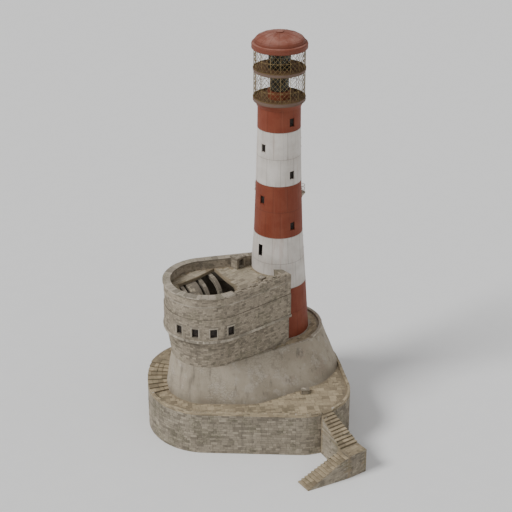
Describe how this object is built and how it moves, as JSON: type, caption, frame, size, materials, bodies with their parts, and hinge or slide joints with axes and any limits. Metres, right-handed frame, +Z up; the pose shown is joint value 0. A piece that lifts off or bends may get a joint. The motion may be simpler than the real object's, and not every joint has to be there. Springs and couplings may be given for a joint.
{
  "type": "lighthouse on an old round fort",
  "caption": "Red and white banded lighthouse with a caged gallery, rising from a ruined round masonry fort on a battered base and paved terrace with a stair.",
  "frame": {"origin": "on the shaft's axis at floor level, where the lowest walls meet the ground", "axes": "+Z up; +X runs from the centre of the round bastion to the shaft; the stair goes down on the -Y side"},
  "size_m": [20.3898, 22.6499, 39.722],
  "materials": {
    "masonry": "weathered coursed rubble and lime render",
    "paving": "worn stone slabs, sandy joints",
    "render": "smooth lime render over mass masonry, stained",
    "red_paint": "sun-faded masonry paint, matt",
    "white_paint": "chalky white masonry paint, streaked",
    "roof_paint": "faded red sheet metal, semi-matt",
    "rim_iron": "grey painted iron, rusting",
    "cage_brass": "dull brass mesh",
    "lantern_glass": "clear panes",
    "lens_glass": "cut glass in a brass frame",
    "dark_frame": "dark frames and panes",
    "railing": "pale painted iron"
  },
  "bodies": {
    "root": {"terrace_core": "masonry", "terrace_wall_left": "masonry", "terrace_wall_front": "masonry", "terrace_wall_lobe": "masonry", "terrace_wall_right": "masonry", "terrace_wall_back": "masonry", "terrace_paving": "paving", "terrace_kerb": "paving", "side_steps": "paving", "side_landing": "paving", "stair_upper_flight": "paving", "stair_landing": "paving", "stair_lower_flight": "paving", "battered_base": "render", "ledge_kerb": "masonry", "ledge_railing": "railing", "fort_podium": "masonry", "fort_string_course": "masonry", "fort_floor": "masonry", "fort_wall_front": "masonry", "fort_wall_left": "masonry", "fort_wall_back": "masonry", "fort_wall_wing": "masonry", "fort_upper_course": "masonry", "fort_windows": "dark_frame", "vault_ribs": "masonry", "vault_shell": "masonry", "fort_deck": "paving", "parapet_bastion": "masonry", "parapet_back": "masonry", "parapet_low": "masonry", "hatch_hood": "masonry", "deck_block": "masonry", "terrace_block": "masonry", "shaft_foot_band": "red_paint", "shaft_lower_band": "white_paint", "shaft_middle_band": "red_paint", "shaft_upper_band": "white_paint", "shaft_top_band": "red_paint", "shaft_windows": "dark_frame", "side_balconies": "railing", "gallery_floor": "red_paint", "gallery_rim": "rim_iron", "lantern_wall": "red_paint", "lantern_lower_glazing": "lantern_glass", "lantern_upper_glazing": "lantern_glass", "lantern_lens": "lens_glass", "upper_deck": "rim_iron", "cage_lower": "cage_brass", "cage_upper": "cage_brass", "roof": "roof_paint"}
  },
  "joints": []
}
